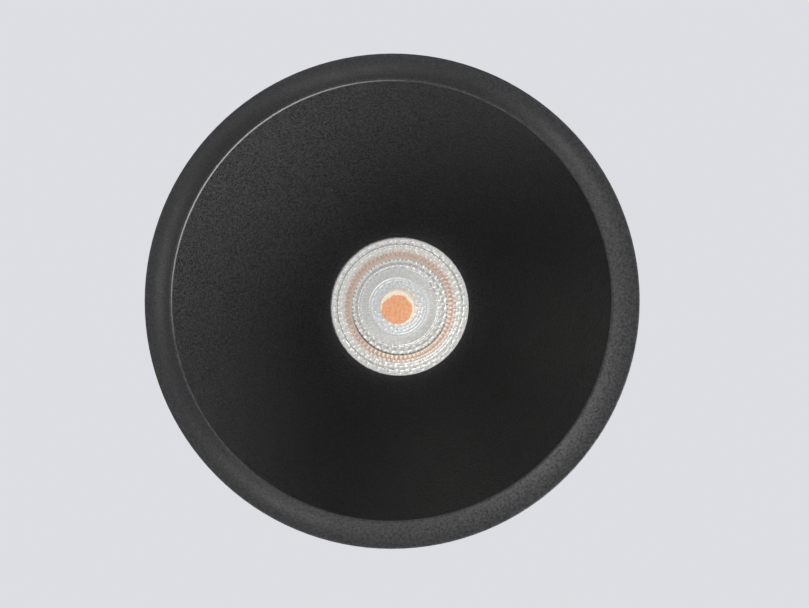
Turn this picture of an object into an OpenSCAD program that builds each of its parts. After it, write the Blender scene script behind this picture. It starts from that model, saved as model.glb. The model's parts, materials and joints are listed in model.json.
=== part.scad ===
// Recessed soffit downlight: a die-cast trim with a deep anti-glare cone, a collimating lens over
// a round emitter, a finned heat sink, a wiring chamber with a cable gland, and two sprung clips.
// Z points up into the soffit. z = 0 is the soffit's underside, where the flange gasket seats, and
// the light shines down. The two clips stand on the X axis and the gland points along +Y.

/* [Flange and cone] */
// Outer diameter of the visible flange
flange_d = 90; // [88:0.5:100]
// Thickness of the flange at its outer edge
flange_edge = 1.6; // [1.2:0.1:2.4]
// How far the lip round the mouth stands proud of the flange's outer edge
lip_rise = 1.6; // [0.8:0.1:2.4]
// Width of the flange's face, from its outer edge to the mouth
face_w = 5.3; // [4.8:0.1:6]
// Radius on the lip and on the flange's outer edge
edge_round = 0.4; // [0.2:0.05:0.6]
// Depth of the cone from the lip to the lens opening
cone_depth = 32.2; // [30:0.1:36]
// Bow of the cone: 1 is straight, more is flat by the lens and steep at the mouth
cone_bow = 1.25; // [1.1:0.01:1.4]
// Wall of the cone
cone_wall = 1.8; // [1.4:0.1:2.2]
// Width of the ledge that the lens gasket lies on
ledge_w = 1.8; // [1.4:0.1:2.2]
// Thickness of that ledge
ledge_t = 0.8; // [0.6:0.1:1.4]

/* [Soffit fit] */
// How far the flange laps over the soffit round the hole cut in it
flange_lap = 3.5; // [3.2:0.1:3.8]
// Radial room between the neck and the hole
cutout_room = 0.5; // [0.3:0.1:0.7]
// Height of the neck above the soffit's underside
neck_h = 12; // [8:0.5:14]
// Wall of the neck
neck_wall = 2; // [1.5:0.1:2.2]
// Thickness of the soffit gasket
gasket_t = 1; // [0.8:0.1:1.6]

/* [Lens] */
// Diameter of the lens over its rim
lens_d = 28; // [27.8:0.1:28.6]
// Thickness of the lens rim
lens_rim = 1.6; // [1.2:0.1:2]
// Height of the lens from its front to its back
lens_h = 10.6; // [9.6:0.1:12]
// Diameter of the lens at its back
lens_back_d = 12.4; // [11.6:0.1:13]
// Thickness of the gasket in front of the lens
lens_gasket_t = 0.8; // [0.6:0.1:1.2]
// Wall of the barrel round the lens
barrel_wall = 3; // [2.5:0.1:4]

/* [Emitter] */
// Side of the square emitter board
board_w = 13.5; // [12.8:0.1:14]
// Thickness of the emitter board
board_t = 1; // [0.8:0.1:1.4]
// Diameter of the light-emitting face
emitter_d = 6.4; // [5:0.1:7]
// Thickness of the phosphor layer
emitter_t = 0.6; // [0.4:0.1:0.8]
// Gap between the phosphor and the back of the lens
emitter_gap = 0.4; // [0.3:0.1:0.8]
// Thickness of the thermal pad
pad_t = 0.3; // [0.2:0.05:0.5]
// Thickness of the ring that holds the emitter board down
holder_t = 3; // [2.7:0.1:3.3]
// Thickness of the carrier wall that presses on the lens rim
carrier_wall = 1.1; // [0.9:0.1:1.3]

/* [Heat sink] */
// Diameter of the heat sink
sink_d = 68; // [64:0.5:68.4]
// Thickness of the heat sink's base
sink_base = 4; // [3:0.1:6]
// Height of the fins above the base
fin_h = 20; // [14:0.5:26]
// Thickness of one fin
fin_t = 1.6; // [1.2:0.1:2]
// Number of fins
fin_count = 24; // [18:3:30]
// Diameter of the solid core inside the fins
core_d = 29; // [28:0.1:32]
// Distance of the heat sink screws from the axis
sink_screw_r = 24; // [23:0.1:25]

/* [Wiring chamber] */
// Outer diameter of the chamber
chamber_d = 40; // [38:0.5:42]
// Wall and floor of the chamber
chamber_wall = 2; // [1.6:0.1:2.4]
// Height of the chamber over its floor and wall
chamber_h = 17.2; // [17:0.1:20]
// Thickness of the chamber's lid
lid_t = 2; // [1.6:0.1:3]
// Thickness of the flat seals under the chamber and under its lid
seal_t = 0.8; // [0.6:0.1:1.2]
// Thread diameter of the cable gland
gland_d = 12; // [11:0.1:12.6]
// Bore of the gland's rubber insert, where the supply cable goes through
cable_d = 6.4; // [5:0.1:6.8]
// Length of the gland's dome nut
gland_nut_l = 12; // [10:0.5:13]

/* [Clips] */
// Length of a clip arm from its pin to the tip of its sleeve
clip_len = 23; // [22:0.5:23.5]
// Angle of a resting clip arm below level
clip_rest = 66; // [64:0.5:68]
// Width of a clip arm
clip_w = 14; // [12.6:0.2:14.4]
// Thickness of the clip's stamped steel
clip_t = 1; // [0.8:0.1:1.2]
// Height of a resting sleeve's tip above the soffit's underside
clip_tip_z = 2.6; // [2.3:0.1:3.2]
// Diameter of the hinge pin
pin_d = 3; // [2.6:0.1:3.2]
// Wire of the torsion spring
wire_d = 1; // [0.8:0.05:1.05]
// Mean diameter of the torsion spring
coil_d = 6.6; // [6.2:0.1:6.8]
// Rise of the torsion spring in one turn
coil_pitch = 1.6; // [1.5:0.02:1.7]
// Full turns of the torsion spring
coil_turns = 4; // [3:1:4]

/* [Hidden] */

$fn = 96;
eps = 0.01;       // overlap that makes two solids of one piece join
touch = 0.05;     // room round a screw or a pin in the hole that holds it
snug = 0.1;       // room round what is pushed into place
screw_room = 0.2; // room round a screw in a hole that it only goes through
pocket_room = 0.2;
loose = 0.3;      // room between pieces that don't carry each other

black_paint = [0.09, 0.09, 0.10];
dark_grey = [0.20, 0.20, 0.21];
rubber = [0.12, 0.12, 0.12];
clear = [0.86, 0.90, 0.92];
steel = [0.66, 0.67, 0.69];
white = [0.92, 0.92, 0.90];

// Heights of the stack, from the flange up to the lid
flange_r = flange_d / 2;
mouth_r = flange_r - face_w;
cutout_r = flange_r - flange_lap;
barrel_ir = lens_d / 2 + 1;
aperture_r = barrel_ir - ledge_w;
flange_face_z = -gasket_t - flange_edge;
lip_z = flange_face_z - lip_rise;
aperture_z = lip_z + cone_depth;
ledge_z = aperture_z + ledge_t;
lens_z = ledge_z + lens_gasket_t;
rim_z = lens_z + lens_rim;
lens_back_z = lens_z + lens_h;
emitter_z = lens_back_z + emitter_gap;
board_z = emitter_z + emitter_t;
pad_z = board_z + board_t;
sink_z = pad_z + pad_t;
holder_z = sink_z - holder_t;
fins_z = sink_z + sink_base;
sink_top = fins_z + fin_h;
chamber_z = sink_top + seal_t;
chamber_floor = chamber_z + chamber_wall;
chamber_top = chamber_z + chamber_h;
lid_z = chamber_top + seal_t;

// The neck stands in the cut-out. Its root is a little wider, and the gasket lies round that.
neck_r = cutout_r - cutout_room;
neck_root = 0.2;
root_r = neck_r + neck_root;
neck_foot = flange_face_z + 0.6;   // the neck starts inside the flange
notch_z = 2;                       // the clips swing through notches in the neck from here up

// The cone's curve: t runs from 0 at the lens to 1 at the mouth, and off goes out into its wall
cone_steps = 20;
mouth_slope = atan(cone_bow * cone_depth / (mouth_r - aperture_r));
sweep_slope = atan(2 * lip_rise / (flange_r - mouth_r));
lip_c = [mouth_r + edge_round, lip_z + edge_round];
cone_run = lip_c.x - edge_round * sin(mouth_slope) - aperture_r;
cone_fall = aperture_z - (lip_c.y - edge_round * cos(mouth_slope));
function cone_slope(t) = atan(cone_bow * cone_fall * pow(t, cone_bow - 1) / cone_run);
function cone_at(t, off) = [
    aperture_r + cone_run * t + off * sin(cone_slope(t)),
    aperture_z - cone_fall * pow(t, cone_bow) + off * cos(cone_slope(t))
];
function cone_r_at(z) = aperture_r + cone_run * pow((aperture_z - z) / cone_fall, 1 / cone_bow);
function arc_at(c, r, a) = [c.x + r * cos(a), c.y + r * sin(a)];

// The flange's face: level at its outer edge and sweeping down to the lip
edge_c = [flange_r - edge_round, flange_face_z + edge_round];
sweep_end = arc_at(lip_c, edge_round, -90 + sweep_slope);
function sweep_at(u) = [
    edge_c.x + (sweep_end.x - edge_c.x) * u,
    flange_face_z + (sweep_end.y - flange_face_z) * u * u
];

// Barrel, its top flange and the screws through it
barrel_or = barrel_ir + barrel_wall;
top_flange_t = 3;
boss_r = 4.2;
top_flange_r = sink_screw_r + boss_r + 1.4;
boss_h = 9;                        // the screw bosses hang down from the top flange
sink_screw_angles = [90, 210, 330];
sink_grip = 8;                     // how far their threads go into the casting
m3_r = 1.5;
m3_head_r = 2.6;
m3_head_h = 1.8;
m3_socket_r = 1.1;
m25_r = 1.25;
m25_head_r = 2;
m25_head_h = 1.4;
m25_socket_r = 0.9;
cap_head_r = 2.75;                 // the heat sink's screws have tall heads
cap_head_h = 3;
cap_socket_r = 1.25;
seal_ring_r = barrel_or - 0.6;
seal_ring_d = 1.4;
groove_room = 0.1;
groove_half = seal_ring_d / 2 + groove_room;
spot_face = 0.4;                   // the screw heads sit this deep in the heat sink's base
well_r = 3.6;                      // and a driver reaches them through wells between the fins

// Lens: its flank is a parabola from the rim to the back, and the pit over the emitter has a
// straight wall and a domed floor
flank_r = lens_d / 2 - 1.1;
back_r = lens_back_d / 2;
pit_r = emitter_d / 2 + 1.4;
pit_z = lens_z + 0.45 * lens_h;
pit_dome = 2;
function flank_at(z) =
    back_r + (flank_r - back_r) * pow((lens_back_z - z) / (lens_back_z - rim_z), 0.6);

// The carrier stands in the barrel, and the holder's screw heads stand between it and the lens
carrier_r = barrel_ir - loose;
carrier_ir = carrier_r - carrier_wall;
holder_screw_x = carrier_ir - loose - m25_head_r;
holder_grip = 2.8;                 // how far the holder's screws go into the heat sink

// Clip hinge: a frame with its origin on the pin, local X along the arm, local Z to its outside
arm_off = 2;                       // the plate's middle stands this far outside the pin's axis
sleeve_t = 1.5;                    // from the plate's middle to the sleeve's face
pivot_z = clip_tip_z + clip_len * sin(clip_rest) - (arm_off - sleeve_t) * cos(clip_rest);
coil_r = coil_d / 2;
ear_gap = 0.5;
ear_y = clip_w / 2 + ear_gap;
notch_y = ear_y + 1.5;
bracket_drop = 5.2;                // from the pin down to the bracket's foot
bracket_rise = 12.4;               // and up to its top
clip_screw_rise = 8.8;
bracket_z = pivot_z - bracket_drop;
bracket_top = pivot_z + bracket_rise;
clip_screw_z = pivot_z + clip_screw_rise;
cone_room = 1.4;                   // from the cone's wall to the bracket's foot
bracket_t = 1.2 * clip_t;
bracket_back = cone_r_at(bracket_z) + cone_wall + cone_room;
bracket_face = bracket_back + bracket_t;
pivot_x = bracket_face + loose + wire_d / 2 + coil_r;
clip_screw_y = ear_y - 3;
plate_start = coil_r + wire_d / 2 + 1;
lug_r = pin_d / 2 + 1.3;
lug_end = plate_start + 2.2;
stop_from = lug_end + 1.2;
stop_to = stop_from + 1.4;
stop_room = 0.1;
arm_inner = arm_off - clip_t / 2;
arm_outer = arm_off + clip_t / 2;
sleeve_l = 7;
sleeve_from = clip_len - sleeve_l;
arm_end = clip_len - sleeve_t;
leg_len = 12;                      // the spring's leg along the arm
leg_end = 1.5;                     // and how far its other leg comes out behind the bracket
clip_screw_l = 6.5;

// Wiring chamber
chamber_r = chamber_d / 2;
chamber_ir = chamber_r - chamber_wall;
gland_hex_af = gland_d + 3;
gland_hex_r = gland_hex_af / 2 / cos(30);
gland_z = sink_top + gland_hex_r + 0.6;
gland_pad_y = chamber_r + 0.6;
washer_t = 1;
gland_hex_t = 3.5;
hex_y = gland_pad_y + washer_t;
nut_y = hex_y + gland_hex_t;
insert_r = gland_d / 2 - 1.6;
insert_l = 8;
insert_y = nut_y - 0.6;
lead_x = 4;
lead_y = -10.5;
lead_r = 0.75;
lead_hole_r = lead_r + loose;
lead_bend = 3;
lead_foot = sink_z - 1.5;
lead_z = chamber_floor + 4;
lead_bite = 2;                     // how far the leads go into the terminals
tap_depth = 9;                     // depth of the screw holes in the heat sink's core
chamber_grip = 6;                  // how far the chamber's and lid's screws go into them
chamber_screw_x = 10.5;
block_w = 2 * (chamber_screw_x - m3_head_r - loose);
block_l = 10;
block_h = 9;
block_y = lead_y + lead_bend + 4;
lid_boss_r = 2.8;
lid_boss_h = 9;
lid_screw_r = chamber_ir - 2.2;
lid_screw_angles = [30, 150, 270];

module tube(r_out, r_in, h) {
    difference() {
        cylinder(r = r_out, h = h);
        translate([0, 0, -eps]) cylinder(r = r_in, h = h + 2 * eps);
    }
}

module drill(r, h) {
    translate([0, 0, -eps]) cylinder(r = r, h = h + 2 * eps);
}

module screw(r, l, head_r, head_h, drive_r) {
    // Points down: the head's underside is at z = 0
    difference() {
        union() {
            translate([0, 0, -l]) cylinder(r = r, h = l + eps);
            cylinder(r = head_r, h = head_h);
        }
        translate([0, 0, head_h / 2]) cylinder(r = drive_r, h = head_h, $fn = 6);
    }
}

// The clips stand at +X, and the left one is turned half round the axis
module side(turn) {
    rotate([0, 0, turn]) children();
}

// Puts a clip's own frame on its hinge
module on_hinge() {
    translate([pivot_x, 0, pivot_z]) rotate([0, clip_rest, 0]) children();
}

// ---- Front casting ----

module casting_shell() {
    wall = [
        for (i = [0 : cone_steps])
        let (p = cone_at(i / cone_steps, cone_wall))
        if (p.x > barrel_or + 0.2 && p.y > -gasket_t) p
    ];
    rotate_extrude($fn = 128) polygon(concat(
        [[flange_r, -gasket_t]],
        [for (i = [0 : 4]) arc_at(edge_c, edge_round, -90 * i / 4)],
        [for (i = [1 : 10]) sweep_at(i / 10)],
        [for (i = [1 : 4]) arc_at(lip_c, edge_round,
            -90 + sweep_slope - (sweep_slope + 90 - (90 - mouth_slope)) * i / 5)],
        [for (i = [cone_steps : -1 : 0]) cone_at(i / cone_steps, 0)],
        [
            [aperture_r, ledge_z], [barrel_ir, ledge_z], [barrel_ir, sink_z],
            [top_flange_r, sink_z], [top_flange_r, sink_z - top_flange_t],
            [barrel_or, sink_z - top_flange_t], [barrel_or, wall[0].y]
        ],
        wall,
        [[wall[len(wall) - 1].x, -gasket_t]]
    ));
}

module neck() {
    difference() {
        union() {
            translate([0, 0, neck_foot]) tube(neck_r, neck_r - neck_wall, neck_h - neck_foot);
            translate([0, 0, neck_foot]) tube(root_r, neck_r - neck_wall, neck_root - neck_foot);
        }
        for (turn = [0, 180]) side(turn)
            translate([neck_r / 2, -notch_y, notch_z]) cube([neck_r, 2 * notch_y, neck_h]);
    }
}

// A flat pad for a clip bracket, on two ribs and two screw bosses
module clip_mount() {
    plate_t = 3;
    rib_t = 2.5;
    screw_boss_r = 3.2;
    root_x = (barrel_ir + barrel_or) / 2;
    reach = bracket_back - root_x - eps;
    half = ear_y + clip_t;
    difference() {
        union() {
            translate([bracket_back - plate_t, -half, bracket_z])
                cube([plate_t, 2 * half, bracket_top - bracket_z]);
            for (y = [-half, half - rib_t])
                translate([root_x, y, bracket_z]) cube([reach, rib_t, bracket_top - bracket_z]);
            for (y = [-clip_screw_y, clip_screw_y])
                translate([root_x, y, clip_screw_z]) rotate([0, 90, 0])
                    cylinder(r = screw_boss_r, h = reach);
        }
        for (y = [-clip_screw_y, clip_screw_y])
            translate([bracket_back - clip_screw_l, y, clip_screw_z]) rotate([0, 90, 0])
                cylinder(r = m3_r + touch, h = clip_screw_l + eps);
        translate([bracket_back - leg_end - loose, -coil_y, pivot_z + coil_r]) rotate([0, 90, 0])
            cylinder(r = wire_d / 2 + loose, h = leg_end + loose + eps);
    }
}

module front_casting() {
    color(black_paint) difference() {
        union() {
            casting_shell();
            neck();
            for (a = sink_screw_angles) rotate([0, 0, a])
                translate([sink_screw_r, 0, sink_z - boss_h])
                    cylinder(r = boss_r, h = boss_h - eps);
            difference() {
                for (turn = [0, 180]) side(turn) clip_mount();
                // the pads' ribs end in the cone's wall and stay out of its mouth
                rotate_extrude($fn = 128) polygon(concat(
                    [for (i = [0 : cone_steps]) cone_at(i / cone_steps, cone_wall / 2)],
                    [[0, lip_z], [0, aperture_z + cone_wall / 2]]
                ));
            }
        }
        for (a = sink_screw_angles) rotate([0, 0, a])
            translate([sink_screw_r, 0, sink_z - boss_h]) drill(m3_r + touch, boss_h);
        // groove for the ring under the heat sink
        translate([0, 0, sink_z - seal_ring_d - groove_room])
            tube(seal_ring_r + groove_half, seal_ring_r - groove_half, seal_ring_d + 1);
    }
}

module soffit_gasket() {
    color(rubber) translate([0, 0, -gasket_t])
        tube(flange_r - edge_round, root_r + snug, gasket_t);
}

// ---- Lens and emitter ----

module lens_gasket() {
    color(rubber) translate([0, 0, ledge_z])
        tube(barrel_ir - loose, aperture_r + loose, lens_gasket_t);
}

module tir_lens() {
    n = 12;
    color(clear) rotate_extrude() polygon(concat(
        [[0, lens_z], [lens_d / 2, lens_z], [lens_d / 2, rim_z]],
        [for (i = [0 : n]) let (z = rim_z + (lens_back_z - rim_z) * i / n) [flank_at(z), z]],
        [[pit_r, lens_back_z]],
        [for (i = [0 : n]) let (r = pit_r * (1 - i / n)) [
            r, pit_z + pit_dome * (1 - pow(r / pit_r, 2))
        ]]
    ));
}

module lens_carrier() {
    // A tube that presses on the lens rim, with six inward ribs that stiffen it
    rib_h = 0.7;
    rib_w = 1;
    rib_z = rim_z + 2.5;
    color(white) union() {
        translate([0, 0, rim_z]) tube(carrier_r, carrier_ir, holder_z - rim_z);
        for (a = [30 : 60 : 330]) rotate([0, 0, a])
            translate([carrier_ir - rib_h, -rib_w / 2, rib_z])
                cube([rib_h + carrier_wall / 2, rib_w, holder_z - rib_z]);
    }
}

module emitter_board() {
    // A square board with the ring that dams the phosphor
    dam_w = 0.7;
    dam_low = 0.1;
    color(white) {
        translate([-board_w / 2, -board_w / 2, board_z])
            cube([board_w, board_w, board_t]);
        translate([0, 0, emitter_z + dam_low])
            tube(emitter_d / 2 + dam_w, emitter_d / 2, emitter_t - dam_low + eps);
    }
}

module emitter_phosphor() {
    color([0.93, 0.55, 0.28]) translate([0, 0, emitter_z])
        cylinder(r = emitter_d / 2 - eps, h = emitter_t);
}

module board_holder() {
    // A ring whose pocket takes the board's corners, open in the middle for the lens's back
    pocket = board_w + 2 * pocket_room;
    color(white) difference() {
        translate([0, 0, holder_z]) cylinder(r = carrier_r, h = holder_t);
        translate([0, 0, holder_z]) drill(flank_at(holder_z) + loose, holder_t);
        translate([-pocket / 2, -pocket / 2, board_z - pocket_room / 2])
            cube([pocket, pocket, holder_t]);
        for (x = [-holder_screw_x, holder_screw_x])
            translate([x, 0, holder_z]) drill(m25_r + screw_room, holder_t);
        for (x = [-lead_x, lead_x])
            translate([x, lead_y, lead_foot - loose]) cylinder(r = lead_hole_r, h = holder_t);
    }
}

module holder_screws() {
    color(steel) for (x = [-holder_screw_x, holder_screw_x])
        translate([x, 0, holder_z]) rotate([180, 0, 0])
            screw(m25_r, holder_t + holder_grip, m25_head_r, m25_head_h, m25_socket_r);
}

module thermal_pad() {
    color([0.62, 0.66, 0.72]) translate([-board_w / 2, -board_w / 2, pad_z])
        cube([board_w, board_w, pad_t]);
}

// ---- Heat sink ----

module heat_sink_seal() {
    color(rubber) translate([0, 0, sink_z - seal_ring_d / 2])
        rotate_extrude() translate([seal_ring_r, 0]) circle(r = seal_ring_d / 2 - eps, $fn = 32);
}

module heat_sink() {
    color(dark_grey) difference() {
        union() {
            translate([0, 0, sink_z]) cylinder(r = sink_d / 2, h = sink_base);
            translate([0, 0, fins_z - 1]) cylinder(r = core_d / 2, h = fin_h + 1);
            for (i = [0 : fin_count - 1]) rotate([0, 0, (i + 0.5) * 360 / fin_count])
                translate([core_d / 2 - 2, -fin_t / 2, fins_z - 1])
                    cube([sink_d / 2 - core_d / 2 + 1.6, fin_t, fin_h + 1]);
        }
        for (a = sink_screw_angles) rotate([0, 0, a]) {
            translate([sink_screw_r, 0, sink_z]) drill(m3_r + screw_room, sink_base);
            translate([sink_screw_r, 0, fins_z - spot_face])
                cylinder(r = well_r, h = fin_h + spot_face + 1);
        }
        for (x = [-lead_x, lead_x])
            translate([x, lead_y, sink_z]) drill(lead_hole_r, sink_top - sink_z);
        for (x = [-holder_screw_x, holder_screw_x])
            translate([x, 0, sink_z - eps]) cylinder(r = m25_r + touch, h = holder_grip + loose);
        for (x = [-chamber_screw_x, chamber_screw_x])
            translate([x, 0, sink_top - tap_depth]) drill(m3_r + touch, tap_depth);
    }
}

module heat_sink_screws() {
    color(steel) for (a = sink_screw_angles) rotate([0, 0, a])
        translate([sink_screw_r, 0, fins_z - spot_face])
            screw(m3_r, sink_base - spot_face + sink_grip, cap_head_r, cap_head_h, cap_socket_r);
}

module led_leads() {
    // Two insulated leads: up through the heat sink, a quarter bend, and into the terminals
    reach = block_y - (lead_y + lead_bend) + lead_bite;
    for (x = [-lead_x, lead_x]) color(x < 0 ? [0.1, 0.1, 0.1] : [0.75, 0.1, 0.08]) {
        translate([x, lead_y, lead_foot]) cylinder(r = lead_r, h = lead_z - lead_bend - lead_foot);
        translate([x, lead_y + lead_bend, lead_z - lead_bend]) rotate([90, 0, -90])
            rotate_extrude(angle = 90) translate([lead_bend, 0]) circle(r = lead_r);
        translate([x, lead_y + lead_bend, lead_z]) rotate([-90, 0, 0])
            cylinder(r = lead_r, h = reach);
    }
}

// ---- Wiring chamber ----

// Holes for the two leads and the two screws through a seal or a floor
module chamber_holes(z, h) {
    for (x = [-lead_x, lead_x]) translate([x, lead_y, z]) drill(lead_hole_r, h);
    for (x = [-chamber_screw_x, chamber_screw_x])
        translate([x, 0, z]) drill(m3_r + screw_room, h);
}

module chamber_seal() {
    color(rubber) difference() {
        translate([0, 0, sink_top]) cylinder(r = core_d / 2 - loose, h = seal_t);
        chamber_holes(sink_top, seal_t);
    }
}

module wiring_chamber() {
    color(dark_grey) difference() {
        union() {
            difference() {
                translate([0, 0, chamber_z]) cylinder(r = chamber_r, h = chamber_h);
                translate([0, 0, chamber_floor]) cylinder(r = chamber_ir, h = chamber_h);
            }
            for (a = lid_screw_angles) rotate([0, 0, a])
                translate([lid_screw_r, 0, chamber_top - lid_boss_h])
                    cylinder(r = lid_boss_r, h = lid_boss_h);
            // a flat pad outside for the gland, as high as the chamber
            intersection() {
                difference() {
                    along_gland(0) cylinder(r = gland_hex_r, h = gland_pad_y);
                    translate([0, 0, chamber_z - eps]) cylinder(r = chamber_ir, h = chamber_d);
                }
                translate([-chamber_r, 0, chamber_z]) cube([chamber_d, chamber_d, chamber_h]);
            }
        }
        chamber_holes(chamber_z, chamber_wall);
        along_gland(chamber_r / 2) cylinder(r = gland_d / 2 + touch, h = chamber_r);
        for (a = lid_screw_angles) rotate([0, 0, a])
            translate([lid_screw_r, 0, chamber_top - lid_boss_h + m25_r])
                cylinder(r = m25_r + touch, h = lid_boss_h);
    }
}

module chamber_screws() {
    color(steel) for (x = [-chamber_screw_x, chamber_screw_x])
        translate([x, 0, chamber_floor])
            screw(m3_r, chamber_wall + seal_t + chamber_grip, m3_head_r, m3_head_h, m3_socket_r);
}

module terminal_block() {
    color(white) difference() {
        translate([-block_w / 2, block_y, chamber_floor]) cube([block_w, block_l, block_h]);
        for (x = [-lead_x, lead_x]) {
            translate([x, block_y - eps, lead_z]) rotate([-90, 0, 0])
                cylinder(r = lead_r + loose, h = block_l + 2 * eps);
            translate([x, block_y + block_l / 2, lead_z + lead_r])
                cylinder(r = m3_r + screw_room, h = block_h);
        }
    }
}

module terminal_screws() {
    grub_h = 3;
    slot_w = 0.5;
    slot_h = 0.8;
    color(steel) for (x = [-lead_x, lead_x])
        translate([x, block_y + block_l / 2, lead_z + lead_r + loose]) difference() {
            cylinder(r = m3_r, h = grub_h);
            translate([-m3_r, -slot_w / 2, grub_h - slot_h]) cube([2 * m3_r, slot_w, 1]);
        }
}

module lid_seal() {
    color(rubber) difference() {
        translate([0, 0, chamber_top])
            tube(chamber_r - loose, lid_screw_r - lid_boss_r, seal_t);
        for (a = lid_screw_angles) rotate([0, 0, a])
            translate([lid_screw_r, 0, chamber_top]) drill(m25_r + screw_room, seal_t);
    }
}

module chamber_lid() {
    bevel = 0.8;
    color(dark_grey) difference() {
        translate([0, 0, lid_z]) rotate_extrude() polygon([
            [0, 0], [chamber_r, 0], [chamber_r, lid_t - bevel],
            [chamber_r - bevel, lid_t], [0, lid_t]
        ]);
        for (a = lid_screw_angles) rotate([0, 0, a])
            translate([lid_screw_r, 0, lid_z]) drill(m25_r + screw_room, lid_t);
    }
}

module lid_screws() {
    color(steel) for (a = lid_screw_angles) rotate([0, 0, a])
        translate([lid_screw_r, 0, lid_z + lid_t])
            screw(m25_r, lid_t + seal_t + chamber_grip, m25_head_r, m25_head_h, m25_socket_r);
}

// ---- Cable gland, along +Y ----

module along_gland(y) {
    translate([0, y, gland_z]) rotate([-90, 0, 0]) children();
}

module gland_body() {
    // A threaded stub through the chamber's wall, a hexagon, and a sleeve that takes the insert
    stub_y = chamber_ir - 0.4;
    color(dark_grey) difference() {
        union() {
            along_gland(stub_y) cylinder(r = gland_d / 2, h = hex_y - stub_y + eps);
            along_gland(hex_y) cylinder(r = gland_hex_r, h = gland_hex_t, $fn = 6);
            along_gland(nut_y - eps) cylinder(r = gland_d / 2, h = insert_l);
        }
        along_gland(stub_y - eps) cylinder(r = cable_d / 2 + 0.5, h = gland_d + insert_l);
        along_gland(insert_y) cylinder(r = insert_r + touch, h = 2 * insert_l);
    }
}

module gland_washer() {
    color(rubber) along_gland(gland_pad_y)
        tube(gland_hex_af / 2 - loose, gland_d / 2 + touch, washer_t);
}

module gland_insert() {
    color(rubber) along_gland(insert_y) tube(insert_r, cable_d / 2, insert_l);
}

module gland_nut() {
    // A hexagonal skirt and a dome with the cable's mouth
    skirt = 0.5 * gland_nut_l;
    shoulder = gland_nut_l - skirt;
    dome_r = gland_hex_af / 2;
    dome_turn = 72;
    mouth = cable_d / 2 + 0.6;
    n = 8;
    color(dark_grey) difference() {
        union() {
            along_gland(nut_y + loose) cylinder(r = gland_hex_r, h = skirt, $fn = 6);
            along_gland(nut_y + loose + skirt - eps) rotate_extrude() polygon(concat(
                [[0, 0]],
                [for (i = [0 : n]) let (a = dome_turn * i / n) [
                    mouth + (dome_r - mouth) * cos(a), shoulder * sin(a) / sin(dome_turn)
                ]],
                [[0, shoulder]]
            ));
        }
        along_gland(nut_y) cylinder(r = gland_d / 2 + touch, h = insert_l + loose);
        along_gland(nut_y) cylinder(r = mouth, h = 2 * gland_nut_l);
    }
}

// ---- Clips ----

// An outline drawn in X and Z, from y0 and as thick as t
module slab(y0, t, points) {
    translate([0, y0 + t, 0]) rotate([90, 0, 0]) linear_extrude(t) polygon(points);
}

// A point of the resting arm's frame, seen from the bracket
function hinge_at(l, off) = [
    pivot_x + l * cos(clip_rest) + off * sin(clip_rest),
    pivot_z - l * sin(clip_rest) + off * cos(clip_rest)
];

module clip_bracket(turn) {
    tab_w = 2.6;
    ear = [
        [bracket_back, bracket_z], hinge_at(stop_to + 0.4, -1.6),
        hinge_at(stop_to + 0.4, arm_inner - stop_room), hinge_at(stop_from - 0.6, arm_outer),
        [pivot_x + lug_r + 0.6, pivot_z + 1.5], [pivot_x + 1.5, pivot_z + lug_r + 0.8],
        [bracket_back, pivot_z + lug_r + 4]
    ];
    color(steel) side(turn) difference() {
        union() {
            translate([bracket_back, -ear_y - clip_t, bracket_z])
                cube([bracket_t, 2 * (ear_y + clip_t), bracket_top - bracket_z]);
            for (y0 = [-ear_y - clip_t, ear_y]) slab(y0, clip_t, ear);
            // the ears' bent-in tabs, which the arm rests on
            for (y0 = [-ear_y - eps, ear_y - tab_w + eps])
                translate([pivot_x, y0, pivot_z]) rotate([0, clip_rest, 0])
                    translate([stop_from, 0, arm_inner - stop_room - clip_t])
                        cube([stop_to - stop_from, tab_w, clip_t]);
        }
        translate([pivot_x, -ear_y - 2 * clip_t, pivot_z]) rotate([-90, 0, 0])
            cylinder(r = pin_d / 2 + 0.02, h = 2 * ear_y + 4 * clip_t);
        for (y = [-clip_screw_y, clip_screw_y])
            translate([bracket_back - 1, y, clip_screw_z]) rotate([0, 90, 0])
                cylinder(r = m3_r + 0.15, h = 4);
        translate([bracket_back - 1, -coil_y, pivot_z + coil_r]) rotate([0, 90, 0])
            cylinder(r = wire_d / 2 + 0.15, h = 4);
    }
}

module clip_arm(turn) {
    lug = [
        [0, -lug_r], [lug_end - 1.5, arm_inner - 1.6], [lug_end, arm_inner],
        [lug_end, arm_outer], [0, lug_r]
    ];
    lug_y = clip_w / 2 - clip_t;
    color(steel) side(turn) on_hinge() difference() {
        union() {
            translate([plate_start, -clip_w / 2, arm_inner])
                cube([arm_end - plate_start, clip_w, clip_t]);
            for (y0 = [-clip_w / 2, lug_y]) {
                slab(y0, clip_t, lug);
                translate([0, y0, 0]) rotate([-90, 0, 0]) cylinder(r = lug_r, h = clip_t);
            }
        }
        translate([0, -clip_w, 0]) rotate([-90, 0, 0])
            cylinder(r = pin_d / 2 + touch, h = 2 * clip_w);
    }
}

module clip_sleeve(turn) {
    wide = clip_w + 1;
    snug = 0.1;
    color(rubber) side(turn) on_hinge() difference() {
        union() {
            translate([sleeve_from, -wide / 2, arm_off - sleeve_t])
                cube([arm_end - sleeve_from, wide, 2 * sleeve_t]);
            translate([arm_end, -wide / 2, arm_off]) rotate([-90, 0, 0])
                cylinder(r = sleeve_t, h = wide);
        }
        translate([sleeve_from - 1, -clip_w / 2 - snug, arm_inner - snug])
            cube([arm_end - sleeve_from + 1 + snug, clip_w + 2 * snug, clip_t + 2 * snug]);
    }
}

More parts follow.
